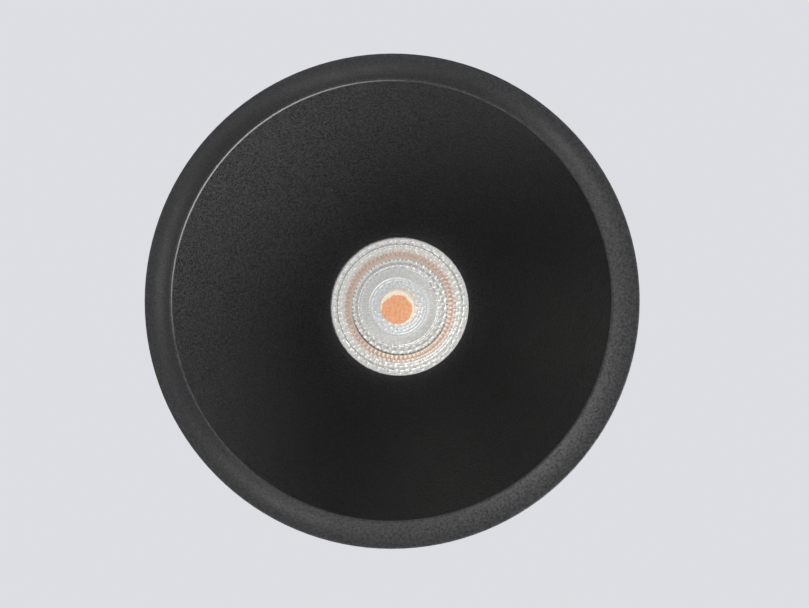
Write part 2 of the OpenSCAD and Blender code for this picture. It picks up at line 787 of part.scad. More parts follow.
module clip_pin(turn) {
    head = 0.8;
    half = ear_y + clip_t;
    color(steel) side(turn) translate([pivot_x, 0, pivot_z]) rotate([-90, 0, 0]) {
        translate([0, 0, -half - eps]) cylinder(r = pin_d / 2, h = 2 * half + 2 * eps);
        for (z = [-half - head, half]) translate([0, 0, z]) cylinder(r = pin_d / 2 + 0.7, h = head);
    }
}

// Torsion spring: one wire that comes in through the bracket's plate over the pin, winds down
// round the pin and leaves along the outside of the arm
coil_sweep = 360 * coil_turns + clip_rest;
coil_y = coil_pitch * coil_sweep / 720;
rings_per_turn = 8;
coil_rings = ceil(rings_per_turn * coil_sweep / 360);
plate_leg = pivot_x - bracket_back + leg_end;
function coil_out(a) = [cos(a), 0, sin(a)];
wire_path = concat(
    [[[-plate_leg, -coil_y, coil_r], coil_out(90)]],
    [for (i = [0 : coil_rings]) let (a = 90 - coil_sweep * i / coil_rings) [
        coil_r * coil_out(a) + [0, coil_y * (2 * i / coil_rings - 1), 0], coil_out(a)
    ]],
    [[
        coil_r * coil_out(90 - clip_rest) + [0, coil_y, 0] + leg_len * coil_out(-clip_rest),
        coil_out(90 - clip_rest)
    ]]
);
wire_gap = min([
    for (i = [1 : coil_rings + 1], j = [i + rings_per_turn / 2 : 1 : coil_rings + 1])
    norm(wire_path[i][0] - wire_path[j][0]) - wire_d
]);
echo(least_gap_of_the_spring_to_itself = wire_gap);

module clip_spring(turn) {
    sides = 6;
    n = len(wire_path);
    points = [
        for (ring = wire_path, k = [0 : sides - 1])
        ring[0] + wire_d / 2 * (cos(360 * k / sides) * ring[1] + [0, sin(360 * k / sides), 0])
    ];
    walls = [
        for (i = [0 : n - 2], k = [0 : sides - 1])
        let (a = i * sides + k, b = i * sides + (k + 1) % sides)
        each [[a, a + sides, b], [b, a + sides, b + sides]]
    ];
    caps = [
        for (k = [1 : sides - 2])
        each [[0, k, k + 1], [(n - 1) * sides, (n - 1) * sides + k + 1, (n - 1) * sides + k]]
    ];
    color(steel) side(turn) translate([pivot_x, 0, pivot_z])
        polyhedron(points, concat(walls, caps));
}

module clip_screws() {
    color(steel) for (turn = [0, 180]) side(turn)
        for (y = [-clip_screw_y, clip_screw_y])
            translate([bracket_face, y, clip_screw_z]) rotate([0, 90, 0])
                screw(m3_r, clip_screw_l, m3_head_r, m3_head_h, m3_socket_r);
}

front_casting();
soffit_gasket();
lens_gasket();
tir_lens();
lens_carrier();
emitter_board();
emitter_phosphor();
board_holder();
holder_screws();
thermal_pad();
heat_sink_seal();
heat_sink();
heat_sink_screws();
led_leads();
chamber_seal();
wiring_chamber();
chamber_screws();
terminal_block();
terminal_screws();
lid_seal();
chamber_lid();
lid_screws();
gland_body();
gland_washer();
gland_insert();
gland_nut();
clip_bracket(0);  // clip_bracket_right
clip_arm(0);  // clip_arm_right
clip_sleeve(0);  // clip_sleeve_right
clip_pin(0);  // clip_pin_right
clip_spring(0);  // clip_spring_right
clip_bracket(180);  // clip_bracket_left
clip_arm(180);  // clip_arm_left
clip_sleeve(180);  // clip_sleeve_left
clip_pin(180);  // clip_pin_left
clip_spring(180);  // clip_spring_left
clip_screws();
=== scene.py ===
# A recessed soffit downlight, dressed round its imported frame. Scene lengths are metres, and the
# dictionaries of the pieces give their sizes in millimetres.
import json
import math

import bmesh
import bpy
import numpy as np
from mathutils import Matrix, Vector


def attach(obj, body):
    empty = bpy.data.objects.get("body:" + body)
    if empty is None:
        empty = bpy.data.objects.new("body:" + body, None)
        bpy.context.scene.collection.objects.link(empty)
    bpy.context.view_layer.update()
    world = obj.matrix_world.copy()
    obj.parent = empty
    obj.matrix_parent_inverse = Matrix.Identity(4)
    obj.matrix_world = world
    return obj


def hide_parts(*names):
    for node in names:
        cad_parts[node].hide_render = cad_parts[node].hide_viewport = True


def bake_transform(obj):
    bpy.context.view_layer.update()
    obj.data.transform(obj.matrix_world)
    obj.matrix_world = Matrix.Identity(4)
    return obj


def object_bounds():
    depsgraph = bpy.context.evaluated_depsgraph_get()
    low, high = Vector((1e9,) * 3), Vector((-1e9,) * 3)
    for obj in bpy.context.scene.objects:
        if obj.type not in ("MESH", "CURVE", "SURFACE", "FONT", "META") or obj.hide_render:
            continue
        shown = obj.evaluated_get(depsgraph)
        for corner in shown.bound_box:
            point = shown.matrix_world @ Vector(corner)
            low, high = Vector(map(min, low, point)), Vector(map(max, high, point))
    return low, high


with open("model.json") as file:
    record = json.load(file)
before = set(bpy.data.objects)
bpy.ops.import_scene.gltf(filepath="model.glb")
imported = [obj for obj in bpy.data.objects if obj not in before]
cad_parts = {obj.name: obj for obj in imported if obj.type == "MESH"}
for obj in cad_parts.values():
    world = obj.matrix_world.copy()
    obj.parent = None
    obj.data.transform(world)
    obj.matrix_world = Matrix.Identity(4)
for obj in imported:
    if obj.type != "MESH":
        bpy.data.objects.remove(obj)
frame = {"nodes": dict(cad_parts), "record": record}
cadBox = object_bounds()
scene = bpy.context.scene
scene.view_settings.view_transform = "Standard"

mm = 0.001
cadNodes = frame["nodes"]
behaviour = frame["record"]["behaviour"]
bodyOfNode = {node: body for body, nodes in behaviour["bodies"].items() for node in nodes}
slotOfNode = {part["node"]: part["material_slot"] for part in frame["record"]["subparts"]}
hingeOf = {joint["child"]: Vector(joint["pos_m"]) for joint in behaviour["joints"]}

photoView = {
    "distance": 0.6,                          # from the flange's face to the camera
    "forward": (-0.04685, -0.03571, 1.0),     # almost straight up into the fitting
    "aim": (0.00243, 0.00066, -0.003),        # the flange stands a little left of the picture's middle
    "focalLength": 147.33,
    "sensorWidth": 36.0,
}


def placeCamera():
    # Right in the picture is +X and up in the picture is -Y
    camera = bpy.data.objects.new("photoCamera", bpy.data.cameras.new("photoCamera"))
    scene.collection.objects.link(camera)
    forward = Vector(photoView["forward"]).normalized()
    back = -forward
    right = Vector((0, -1, 0)).cross(back).normalized()
    up = back.cross(right)
    turn = Matrix((right, up, back)).transposed()
    stand = Vector(photoView["aim"]) - forward * photoView["distance"]
    camera.matrix_world = Matrix.Translation(stand) @ turn.to_4x4()
    camera.data.lens = photoView["focalLength"]
    camera.data.sensor_width = photoView["sensorWidth"]
    camera.data.clip_start = 0.01
    camera.data.clip_end = 20
    scene.camera = camera


softboxes = [
    # name, where it stands, what it points at, its side, its watts, whether it lights, and whether
    # gloss shows it
    ("keyBelow", (0.573, 0.515, -0.25), (0, 0, 0.005), 0.44, 10.8, True, False),
    ("fillBelow", (-0.25, -0.30, -0.80), (0, 0, 0), 0.40, 0.45, True, True),
    ("glintRight", (0.40, 0.36, -0.55), (0, 0, 0), 0.40, 0.08, False, True),
    ("glintLower", (-0.361, 0.516, -0.4925), (0, 0, 0), 0.30, 0.65, False, True),
    ("glintLeft", (-0.620, -0.109, -0.4925), (0, 0, 0), 0.30, 0.75, False, True),
    ("glintBack", (-0.163, -0.609, -0.4925), (0, 0, 0), 0.30, 0.65, False, True),
    ("glintUpper", (0.483, -0.405, -0.4925), (0, 0, 0), 0.30, 0.65, False, True),
    ("keyAbove", (-0.50, -0.60, 0.75), (0, 0, 0.04), 0.45, 10.0, True, False),
    ("fillAbove", (0.70, 0.45, 0.55), (0, 0, 0.04), 0.60, 7.0, True, True),
]


def placeSoftboxes():
    for name, place, target, side, watts, lights, inGloss in softboxes:
        lamp = bpy.data.lights.new(name, "AREA")
        lamp.shape = "SQUARE"
        lamp.size = side
        lamp.energy = watts
        holder = bpy.data.objects.new(name, lamp)
        holder.location = place
        holder.rotation_mode = "QUATERNION"
        holder.rotation_quaternion = (Vector(target) - Vector(place)).to_track_quat("-Z", "Y")
        holder.visible_camera = False
        holder.visible_diffuse = lights
        holder.visible_glossy = inGloss
        scene.collection.objects.link(holder)


def blankMaterial(name):
    material = bpy.data.materials.new(name)
    material.use_nodes = True
    tree = material.node_tree
    tree.nodes.clear()
    return material, tree, tree.nodes.new("ShaderNodeOutputMaterial").inputs["Surface"]


def startMaterial(name):
    material, tree, surface = blankMaterial(name)
    shader = tree.nodes.new("ShaderNodeBsdfPrincipled")
    tree.links.new(shader.outputs[0], surface)
    return material, tree, shader


def nodeOf(material, kind):
    return next(node for node in material.node_tree.nodes if node.type == kind)


def compute(tree, operation, *values):
    # One Math node. A value is a number or a socket.
    node = tree.nodes.new("ShaderNodeMath")
    node.operation = operation
    for socket, value in zip(node.inputs, values):
        if isinstance(value, (int, float)):
            socket.default_value = value
        else:
            tree.links.new(value, socket)
    return node.outputs[0]


def product(tree, first, *others):
    for other in others:
        first = compute(tree, "MULTIPLY", first, other)
    return first


def distanceFrom(tree, value, middle):
    return compute(tree, "ABSOLUTE", compute(tree, "SUBTRACT", value, middle))


def plainShader(tree, kind, colour):
    node = tree.nodes.new(kind)
    node.inputs["Color"].default_value = colour
    return node.outputs[0]


def mixShaders(tree, factor, first, second):
    mix = tree.nodes.new("ShaderNodeMixShader")
    for socket, source in zip(mix.inputs, (factor, first, second)):
        tree.links.new(source, socket)
    return mix.outputs[0]


backdrop = {"colour": (0.723, 0.730, 0.768, 1), "ambient": (0.038, 0.038, 0.039, 1)}


def paintWorld():
    # The backdrop's pale colour for the camera and for what gloss and glass show, a softer one as light
    world = bpy.data.worlds.new("studioWorld")
    scene.world = world
    world.use_nodes = True
    tree = world.node_tree
    tree.nodes.clear()
    rays = tree.nodes.new("ShaderNodeLightPath").outputs
    shown = compute(tree, "MAXIMUM", rays["Is Camera Ray"], rays["Is Glossy Ray"])
    shown = compute(tree, "MAXIMUM", shown, rays["Is Transmission Ray"])
    light = plainShader(tree, "ShaderNodeBackground", backdrop["ambient"])
    seen = plainShader(tree, "ShaderNodeBackground", backdrop["colour"])
    output = tree.nodes.new("ShaderNodeOutputWorld")
    tree.links.new(mixShaders(tree, shown, light, seen), output.inputs["Surface"])


floorSheet = {
    "side": 6.0,
    "gap": 0.0002,                            # below the fitting
    "colour": (0.34, 0.345, 0.36, 1),
    "glow": (0.42, 0.425, 0.445, 1),          # keeps the paper pale where the lamps fall off
}


def layFloor():
    # The fitting lies on its face. The floor shows from above, and from below one looks through it.
    half = floorSheet["side"] / 2
    height = cadBox[0].z - floorSheet["gap"]
    corners = [(x * half, y * half, height) for x, y in ((-1, -1), (1, -1), (1, 1), (-1, 1))]
    mesh = bpy.data.meshes.new("studioFloor")
    mesh.from_pydata(corners, [], [(0, 1, 2, 3)])
    floor = bpy.data.objects.new("studioFloor", mesh)
    scene.collection.objects.link(floor)
    material, tree, surface = blankMaterial("floorPaper")
    isCamera = tree.nodes.new("ShaderNodeLightPath").outputs["Is Camera Ray"]
    fromBehind = tree.nodes.new("ShaderNodeNewGeometry").outputs["Backfacing"]
    fromAbove = compute(tree, "GREATER_THAN", isCamera, fromBehind)
    paper = tree.nodes.new("ShaderNodeAddShader")
    matt = plainShader(tree, "ShaderNodeBsdfDiffuse", floorSheet["colour"])
    even = plainShader(tree, "ShaderNodeEmission", floorSheet["glow"])
    tree.links.new(matt, paper.inputs[0])
    tree.links.new(even, paper.inputs[1])
    clear = tree.nodes.new("ShaderNodeBsdfTransparent").outputs[0]
    tree.links.new(mixShaders(tree, fromAbove, clear, paper.outputs[0]), surface)
    mesh.materials.append(material)


placeCamera()
placeSoftboxes()
paintWorld()
layFloor()
print("camera and studio are set")


def objectSpace(tree, stretch=(1, 1, 1), centre=(0, 0, 0)):
    # The object's own coordinates, moved to a pattern's centre and stretched for drawn surfaces
    place = tree.nodes.new("ShaderNodeTexCoord")
    mapping = tree.nodes.new("ShaderNodeMapping")
    mapping.inputs["Location"].default_value = [-c * s for c, s in zip(centre, stretch)]
    mapping.inputs["Scale"].default_value = stretch
    tree.links.new(place.outputs["Object"], mapping.inputs["Vector"])
    return mapping.outputs["Vector"]


def speckle(tree, where, size, detail=2.0, rough=0.5):
    # Noise with lumps of about this size
    noise = tree.nodes.new("ShaderNodeTexNoise")
    noise.inputs["Scale"].default_value = 1 / size
    noise.inputs["Detail"].default_value = detail
    noise.inputs["Roughness"].default_value = rough
    tree.links.new(where, noise.inputs["Vector"])
    return noise.outputs["Fac"]


def rescale(tree, value, low, high, fromLow=0.3, fromHigh=0.7):
    spread = tree.nodes.new("ShaderNodeMapRange")
    spread.inputs["From Min"].default_value = fromLow
    spread.inputs["From Max"].default_value = fromHigh
    spread.inputs["To Min"].default_value = low
    spread.inputs["To Max"].default_value = high
    tree.links.new(value, spread.inputs["Value"])
    return spread.outputs["Result"]


def blendColours(tree, factor, first, second):
    mix = tree.nodes.new("ShaderNodeMix")
    mix.data_type = "RGBA"
    tree.links.new(factor, mix.inputs["Factor"])
    for socket, colour in ((mix.inputs[6], first), (mix.inputs[7], second)):
        if isinstance(colour, tuple):
            socket.default_value = (*colour, 1)
        else:
            tree.links.new(colour, socket)
    return mix.outputs[2]


def scaleColour(tree, colour, factor):
    scaled = tree.nodes.new("ShaderNodeVectorMath")
    scaled.operation = "SCALE"
    tree.links.new(colour, scaled.inputs[0])
    tree.links.new(factor, scaled.inputs["Scale"])
    return scaled.outputs[0]


def colourRamp(tree, value, stops):
    ramp = tree.nodes.new("ShaderNodeValToRGB")
    elements = ramp.color_ramp.elements
    while len(elements) > 1:
        elements.remove(elements[-1])
    elements[0].position = stops[0][0]
    elements[0].color = (*stops[0][1], 1)
    for position, colour in stops[1:]:
        elements.new(position).color = (*colour, 1)
    tree.links.new(value, ramp.inputs["Fac"])
    return ramp.outputs["Color"]


def roughen(tree, shader, heights, distance):
    bump = tree.nodes.new("ShaderNodeBump")
    bump.inputs["Distance"].default_value = distance
    tree.links.new(heights, bump.inputs["Height"])
    tree.links.new(bump.outputs["Normal"], shader.inputs["Normal"])


def inMillimetres(tree, centre=(0, 0, 0)):
    # The object's own x, y and z, counted from a pattern's centre
    split = tree.nodes.new("ShaderNodeSeparateXYZ")
    tree.links.new(objectSpace(tree, (1000, 1000, 1000), centre), split.inputs[0])
    return split.outputs


def polar(tree, centre=(0, 0, 0)):
    # Distance from the axis in millimetres, and the turn round it in radians
    x, y = inMillimetres(tree, centre)[:2]
    squares = compute(tree, "ADD", product(tree, x, x), product(tree, y, y))
    return compute(tree, "SQRT", squares), compute(tree, "ARCTAN2", y, x)


def surfaceFinish(name, dark, light, patch, roughness, roughPatch, grain, depth,
                  metallic=0.0, stretch=(1, 1, 1), wear=None, sheen=0.0, soft=0.0, shine=0.5):
    # Colour drifts between two tones over patches, gloss over others, and a fine grain stands in
    # relief. Wear lightens the corners that rub. Patch, roughPatch and grain are the sizes of their
    # lumps, and depth is the grain's height, all in metres.
    material, tree, shader = startMaterial(name)
    where = objectSpace(tree, stretch)
    colour = blendColours(tree, rescale(tree, speckle(tree, where, patch, 3.0), 0, 1), dark, light)
    if wear:
        geometry = tree.nodes.new("ShaderNodeNewGeometry")
        wearAndGlint = rescale(tree, geometry.outputs["Pointiness"], 0, wear["amount"], 0.52, 0.60)
        colour = blendColours(tree, wearAndGlint, colour, wear["colour"])
    tree.links.new(colour, shader.inputs["Base Color"])
    patches = rescale(tree, speckle(tree, where, roughPatch), *roughness)
    tree.links.new(patches, shader.inputs["Roughness"])
    roughen(tree, shader, speckle(tree, where, grain, 3.0, 0.6), depth)
    shader.inputs["Metallic"].default_value = metallic
    shader.inputs["Sheen Weight"].default_value = sheen
    shader.inputs["Specular IOR Level"].default_value = shine
    if soft:
        shader.inputs["Subsurface Weight"].default_value = soft
        shader.inputs["Subsurface Scale"].default_value = 0.001
    return material


finishes = {
    # name, its two tones, their patches, roughness from and to, its patches, the grain and its height
    "black_paint": surfaceFinish(
        "powderCoat", (0.008, 0.008, 0.0081), (0.046, 0.046, 0.0465), 0.00040, (0.31, 0.39), 0.004,
        0.00036, 0.00016, shine=0.40),
    "black_rubber": surfaceFinish(
        "blackRubber", (0.016, 0.016, 0.017), (0.034, 0.034, 0.034), 0.006, (0.68, 0.86), 0.003,
        0.00022, 0.00004, sheen=0.1),
    "clear_silicone": surfaceFinish(
        "clearSilicone", (0.52, 0.53, 0.54), (0.66, 0.67, 0.68), 0.004, (0.35, 0.5), 0.002,
        0.0004, 0.00002, soft=0.3),
    "white_plastic": surfaceFinish(
        "whitePlastic", (0.80, 0.80, 0.78), (0.88, 0.88, 0.86), 0.008, (0.38, 0.5), 0.004,
        0.00025, 0.00002),
    "white_ceramic": surfaceFinish(
        "whiteCeramic", (0.84, 0.85, 0.86), (0.90, 0.90, 0.91), 0.004, (0.40, 0.55), 0.002,
        0.00015, 0.00002),
    "zinc_steel": surfaceFinish(
        "zincPlate", (0.46, 0.47, 0.50), (0.58, 0.58, 0.58), 0.004, (0.28, 0.44), 0.002,
        0.0003, 0.000010, metallic=1.0, wear={"amount": 0.5, "colour": (0.70, 0.70, 0.70)}),
    "spring_steel": surfaceFinish(
        "springSteel", (0.46, 0.455, 0.45), (0.54, 0.535, 0.53), 0.004, (0.26, 0.34), 0.003,
        0.0003, 0.000004, metallic=1.0, stretch=(1, 4, 1)),
    "grey_pad": surfaceFinish(
        "thermalPadGrey", (0.38, 0.42, 0.48), (0.48, 0.52, 0.57), 0.003, (0.7, 0.9), 0.002,
        0.0002, 0.00004),
    "dark_aluminium": surfaceFinish(
        "blackAnodised", (0.030, 0.031, 0.034), (0.052, 0.052, 0.056), 0.012, (0.40, 0.56), 0.003,
        0.00028, 0.00004, metallic=0.35, wear={"amount": 0.45, "colour": (0.16, 0.16, 0.165)}),
    "lead_insulation": surfaceFinish(
        "leadInsulation", (0.30, 0.03, 0.02), (0.38, 0.05, 0.03), 0.006, (0.4, 0.55), 0.003,
        0.0003, 0.00002),
    "black_plastic": surfaceFinish(
        "mouldedPlastic", (0.022, 0.022, 0.023), (0.034, 0.034, 0.035), 0.006, (0.42, 0.58), 0.003,
        0.0002, 0.00003, wear={"amount": 0.3, "colour": (0.09, 0.09, 0.09)}),
    "grey_silicone": surfaceFinish(
        "greySilicone", (0.20, 0.20, 0.21), (0.28, 0.28, 0.29), 0.005, (0.6, 0.75), 0.003,
        0.0003, 0.00002, sheen=0.1),
}
print("finishes are mixed")


def addPiece(name, mesh, material, body, standsFor):
    piece = bpy.data.objects.new(name, mesh)
    scene.collection.objects.link(piece)
    mesh.materials.clear()
    mesh.materials.append(material)
    if body:
        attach(piece, body)
    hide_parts(*standsFor)
    return piece


def gridMesh(points):
    # points is rings by steps by three, in millimetres. Each ring closes, and each cell is one face.
    rings, steps = points.shape[:2]
    numbers = np.arange(rings * steps).reshape(rings, steps)
    numbers = np.hstack([numbers, numbers[:, :1]])
    faces = np.stack([numbers[:-1, :-1], numbers[1:, :-1], numbers[1:, 1:], numbers[:-1, 1:]], axis=-1)
    mesh = bpy.data.meshes.new("grid")
    mesh.vertices.add(rings * steps)
    mesh.vertices.foreach_set("co", (points * mm).astype(np.float32).ravel())
    count = faces.shape[0] * faces.shape[1]
    mesh.loops.add(4 * count)
    mesh.loops.foreach_set("vertex_index", faces.astype(np.int32).ravel())
    mesh.polygons.add(count)
    mesh.polygons.foreach_set("loop_start", np.arange(0, 4 * count, 4, dtype=np.int32))
    mesh.polygons.foreach_set("use_smooth", np.ones(count, dtype=bool))
    mesh.update(calc_edges=True)
    mesh.validate()
    return mesh


def addGrid(work, points):
    grid = gridMesh(points)
    work.from_mesh(grid)
    bpy.data.meshes.remove(grid)


def openEdges(work):
    return [edge for edge in work.edges if edge.is_boundary]


def turned(radii, heights, steps):
    # A profile turned round the Z axis: x = r cos a, y = r sin a, z = h
    angles = np.linspace(0, 2 * math.pi, steps, endpoint=False)
    return np.stack([
        np.outer(radii, np.cos(angles)), np.outer(radii, np.sin(angles)),
        np.repeat(np.asarray(heights)[:, None], steps, axis=1),
    ], axis=-1)


def pieceName(node):
    words = node.split("_")
    return words[0] + "".join(word.capitalize() for word in words[1:])


def mergedCopy(node, flatWithin=0.5):
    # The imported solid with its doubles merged, and its faces joined where they are flat within so many
    # degrees. With 0 they stay as packed.
    work = bmesh.new()
    work.from_mesh(cadNodes[node].data)
    bmesh.ops.remove_doubles(work, verts=work.verts, dist=1e-6)
    if flatWithin:
        bmesh.ops.dissolve_limit(
            work, angle_limit=math.radians(flatWithin), verts=work.verts, edges=work.edges)
    return work


def finishMesh(work, name, sharpAbove=35):
    for face in work.faces:
        face.smooth = True
    for edge in work.edges:
        edge.smooth = not (edge.is_manifold and edge.calc_face_angle(0) > math.radians(sharpAbove))
    mesh = bpy.data.meshes.new(name)
    work.to_mesh(mesh)
    work.free()
    return mesh


def cappedMesh(name, points):
    # A grid of rings whose two ends are closed
    work = bmesh.new()
    addGrid(work, points)
    bmesh.ops.holes_fill(work, edges=openEdges(work))
    bmesh.ops.recalc_face_normals(work, faces=work.faces)
    return finishMesh(work, name, sharpAbove=50)


def roundEdges(piece, width):
    bevel = piece.modifiers.new("roundedEdges", "BEVEL")
    bevel.width = width
    bevel.segments = 2
    bevel.limit_method = "ANGLE"
    bevel.angle_limit = math.radians(35)
    bevel.harden_normals = True


def dressNode(node, edgeRound=0.00015, material=None, flatWithin=0.5):
    name, slotName = pieceName(node), slotOfNode[node]
    mesh = finishMesh(mergedCopy(node, flatWithin), name)
    piece = addPiece(name, mesh, material or finishes[slotName], bodyOfNode[node], [node])
    if edgeRound:
        roundEdges(piece, edgeRound)


casting = {
    "flangeRadius": 45.0,
    "flangeBack": -1.0,        # height of the flange's back, and of its face at the outer edge
    "flangeFace": -2.6,
    "lipHeight": -4.2,
    "mouthRadius": 39.7,
    "edgeRound": 0.4,
    "apertureRadius": 13.2,
    "apertureHeight": 28.0,
    "ledgeHeight": 28.8,
    "coneBow": 1.25,
    "turns": 128,
    "seam": 0.05,              # the new front stops this short of the rest, and a bridge spans it
    "near": 0.07,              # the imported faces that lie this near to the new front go
    "level": 0.999,            # a face counts as level from this upright part of its normal on
}


def castingFront():
    # From the flange's back edge round its rim, along a face that sinks with the square of the way in,
    # round the lip, and up the cone, whose height falls with the way out to the power of its bow
    c = casting
    mouthSlope = math.atan(c["coneBow"] * (c["apertureHeight"] - c["lipHeight"])
                           / (c["mouthRadius"] - c["apertureRadius"]))
    faceSlope = math.atan(2 * (c["flangeFace"] - c["lipHeight"])
                          / (c["flangeRadius"] - c["mouthRadius"]))
    r = c["edgeRound"]
    rimTurn = np.linspace(0, -math.pi / 2, 9)
    rim = (c["flangeRadius"] - r + r * np.cos(rimTurn), c["flangeFace"] + r + r * np.sin(rimTurn))
    lipCentre = (c["mouthRadius"] + r, c["lipHeight"] + r)
    lipTurn = np.linspace(faceSlope - math.pi / 2, -math.pi / 2 - mouthSlope, 12)
    lip = (lipCentre[0] + r * np.cos(lipTurn), lipCentre[1] + r * np.sin(lipTurn))
    u = np.linspace(0, 1, 20)[1:-1]
    face = (rim[0][-1] + (lip[0][0] - rim[0][-1]) * u, rim[1][-1] + (lip[1][0] - rim[1][-1]) * u**2)
    t = np.linspace(1, 0, 60)[1:]
    cone = (
        c["apertureRadius"] + (lip[0][-1] - c["apertureRadius"]) * t,
        c["apertureHeight"] - (c["apertureHeight"] - lip[1][-1]) * t**c["coneBow"],
    )
    start = ([c["flangeRadius"]], [c["flangeBack"]])
    end = ([c["apertureRadius"]], [c["ledgeHeight"]])
    parts = (start, rim, face, lip, cone, end)
    return np.concatenate([p[0] for p in parts]), np.concatenate([p[1] for p in parts])


def makeCasting():
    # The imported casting, with its front turned anew in finer steps and bridged to the rest
    radii, heights = castingFront()
    heights[[0, -1]] -= casting["seam"]
    work = mergedCopy("front_casting", 0)
    line = np.stack([radii, heights], axis=1)
    starts, steps = line[:-1], line[1:] - line[:-1]
    middles = np.array([face.calc_center_median()[:] for face in work.faces]) / mm
    spots = np.stack([np.hypot(middles[:, 0], middles[:, 1]), middles[:, 2]], axis=1)
    along = np.clip(((spots[:, None] - starts) * steps).sum(-1) / (steps**2).sum(-1), 0, 1)
    offLine = np.linalg.norm(spots[:, None] - starts - along[..., None] * steps, axis=-1).min(axis=1)
    upright = np.array([face.normal.z for face in work.faces])
    isWall = np.abs(upright) <= casting["level"]
    isFace = (upright < -casting["level"]) & (middles[:, 2] < 0)
    isFront = (offLine < casting["near"]) & (isWall | isFace)
    work.faces.ensure_lookup_table()
    bmesh.ops.delete(work, geom=[work.faces[i] for i in np.flatnonzero(isFront)], context="FACES")
    addGrid(work, turned(radii, heights, casting["turns"]))
    edges = openEdges(work)
    bmesh.ops.bridge_loops(work, edges=[edge for edge in edges if edge.verts[0].co.z < 0])
    bmesh.ops.bridge_loops(work, edges=[edge for edge in edges if edge.verts[0].co.z > 0])
    bmesh.ops.recalc_face_normals(work, faces=work.faces)
    return finishMesh(work, "frontCasting", sharpAbove=30)


castingCoat = {
    "faceFrom": (39.6, 39.9),        # the flange's face starts between these radii
    "faceTo": (-1.2, -1.0),          # and ends between these heights
    "faceLighter": (1.6, 1.4),       # painted light, times the coat, by the lip and further out
    "faceFades": (40.6, 43.0),
    "faceGrain": 0.3,                # of the coat's own
    "rubRadius": 39.88,              # the lip's inner edge carries a painted highlight, a glint
    "rubReach": (0.05, 0.16),        # so far to each side, where it starts to fade and where it ends
    "rubHeights": (-3.9, -3.6),
    "rubMost": 0.9,
    "rubLeast": 0.06,                # of the most, on the far side
    "rubSide": -138.0,               # degrees round the axis, where it is strongest
    "rubSpread": (0.60, 0.96),       # cosines of the turn from there, between which it fades
    "rubTone": (0.38, 0.38, 0.383),
}


def castingFinish():
    # The powder coat, smoother on the flange's face and painted lighter there, with a painted highlight
    # along the lip's inner edge
    c = castingCoat
    coat = finishes["black_paint"].copy()
    coat.name = "castingCoat"
    tree = coat.node_tree
    shader = nodeOf(coat, "BSDF_PRINCIPLED")
    grain = nodeOf(coat, "BUMP")
    base = shader.inputs["Base Color"].links[0].from_socket
    away, turn = polar(tree)
    height = inMillimetres(tree)[2]
    onFace = product(
        tree, rescale(tree, away, 0, 1, *c["faceFrom"]), rescale(tree, height, 1, 0, *c["faceTo"]))
    # painted light: the flange's face is painted lighter, most by the lip, for the light it catches
    lighter = scaleColour(tree, base, rescale(tree, away, *c["faceLighter"], *c["faceFades"]))
    painted = blendColours(tree, onFace, base, lighter)
    # painted highlight: a light line along the lip's inner edge, strongest on one side
    facing = compute(tree, "COSINE", compute(tree, "SUBTRACT", turn, math.radians(c["rubSide"])))
    wearAndGlint = product(
        tree,
        rescale(tree, distanceFrom(tree, away, c["rubRadius"]), c["rubMost"], 0, *c["rubReach"]),
        rescale(tree, height, 1, 0, *c["rubHeights"]),
        rescale(tree, facing, c["rubLeast"], 1, *c["rubSpread"]),
    )
    tree.links.new(rescale(tree, onFace, 1, c["faceGrain"], 0, 1), grain.inputs["Strength"])
    tree.links.new(blendColours(tree, wearAndGlint, painted, c["rubTone"]), shader.inputs["Base Color"])
    return coat


addPiece("frontCasting", makeCasting(), castingFinish(), "fitting", ["front_casting"])
print("the casting is turned")


lens = {
    "turns": 432,
    "rimRadius": 14.0,
    "front": 29.6,
    "rimBack": 31.2,
    "back": 40.2,
    "flankRadius": 12.9,
    "backRadius": 6.2,
    "pitRadius": 4.6,
    "pitHeight": 34.4,
    "drift": -0.38,             # the inner rings lie this far to one side, as in the photograph
    "driftFrom": 9.0,           # it starts at this radius going in, and is whole at the next
    "driftWhole": 6.0,
    "rowSteps": 9,
    "seam": 0.02,               # between the rim's edge and the first row
    "rows": [
        # outer and inner radius, their heights, relief across a cell and across the row, cells round,
        # the first cell's turn, squareness, teeth
        (13.98, 12.74, 29.60, 29.60, 0.00, 0.00, 36, 0.0, 2, 0.00),
        (12.70, 12.16, 29.67, 29.69, 0.075, 0.02, 36, 0.0, 6, 0.00),
        (12.10, 11.88, 29.70, 29.74, 0.05, 0.00, 36, 0.5, 2, 0.05),
        (11.84, 11.36, 29.76, 29.78, 0.05, 0.02, 72, 0.0, 4, 0.00),
        (11.32, 10.86, 29.80, 29.83, 0.06, 0.02, 36, 0.5, 4, 0.12),
        (10.82, 10.24, 29.86, 29.90, 0.035, 0.02, 72, 0.5, 2, 0.00),
        (10.20, 9.42, 29.92, 30.00, 0.04, 0.02, 72, 0.0, 2, 0.10),
        (9.36, 9.12, 30.02, 30.06, 0.03, 0.00, 36, 0.5, 2, 0.00),
        (9.08, 8.56, 30.06, 30.10, 0.09, 0.02, 36, 0.0, 4, 0.16),
        (8.50, 7.98, 30.12, 30.16, 0.08, 0.00, 36, 0.5, 4, 0.00),
        (7.94, 7.50, 30.16, 30.18, 0.08, 0.02, 36, 0.0, 6, 0.00),
        (7.46, 5.66, 30.18, 30.26, 0.008, 0.01, 144, 0.0, 2, 0.00),
        (5.62, 5.10, 30.26, 30.26, 0.00, 0.05, 36, 0.0, 2, 0.00),
        (5.06, 4.56, 30.28, 30.32, 0.04, 0.02, 18, 0.0, 3, 0.00),
        (4.52, 4.02, 30.34, 30.38, 0.04, 0.02, 18, 0.5, 3, 0.00),
        (3.98, 3.32, 30.40, 30.46, 0.04, 0.02, 18, 0.0, 3, 0.00),
    ],
}


